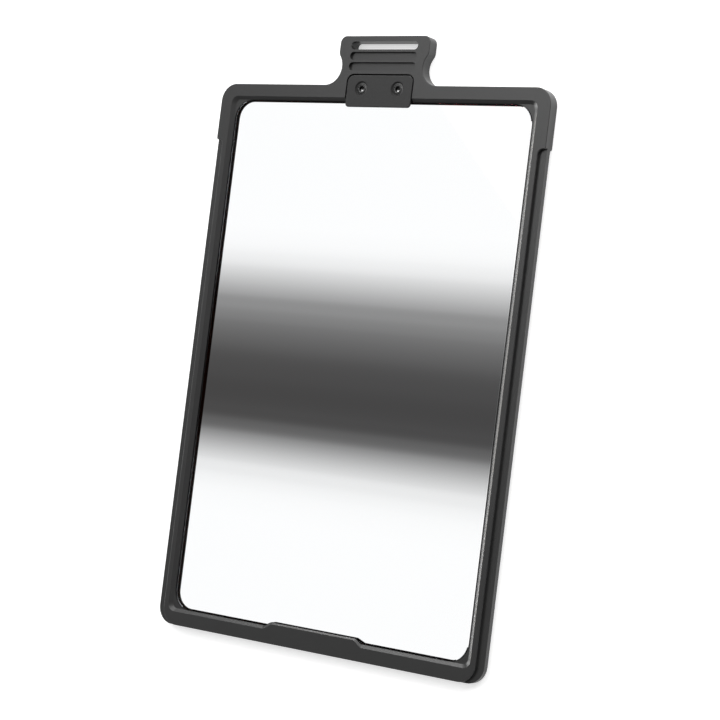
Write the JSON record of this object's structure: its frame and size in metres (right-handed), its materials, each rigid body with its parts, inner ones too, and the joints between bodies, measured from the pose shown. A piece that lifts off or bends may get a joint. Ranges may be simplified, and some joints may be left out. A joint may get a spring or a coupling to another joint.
{
  "type": "square filter holder",
  "caption": "Slim slide-in frame that carries a rectangular graduated camera filter, with side rails and a finger grip.",
  "frame": {"origin": "middle of the whole outline, finger grip included, on the rear face", "axes": "+Y towards the finger grip, +Z out of the front face, +X to the right seen from the front"},
  "size_m": [0.1116, 0.1736, 0.0037],
  "materials": {
    "anodised_frame": "satin black anodised",
    "graduated_glass": "clear coated glass with a neutral grey graduated band",
    "seal_rubber": "matt black",
    "anodised_plate": "fine blasted black anodised",
    "black_steel": "black oxide steel"
  },
  "bodies": {
    "root": {"frame": "anodised_frame", "filter_glass": "graduated_glass", "glass_gasket": "seal_rubber", "clamp_plate": "anodised_plate", "clamp_pad": "seal_rubber", "clamp_screw_left": "black_steel", "clamp_screw_right": "black_steel"}
  },
  "joints": []
}
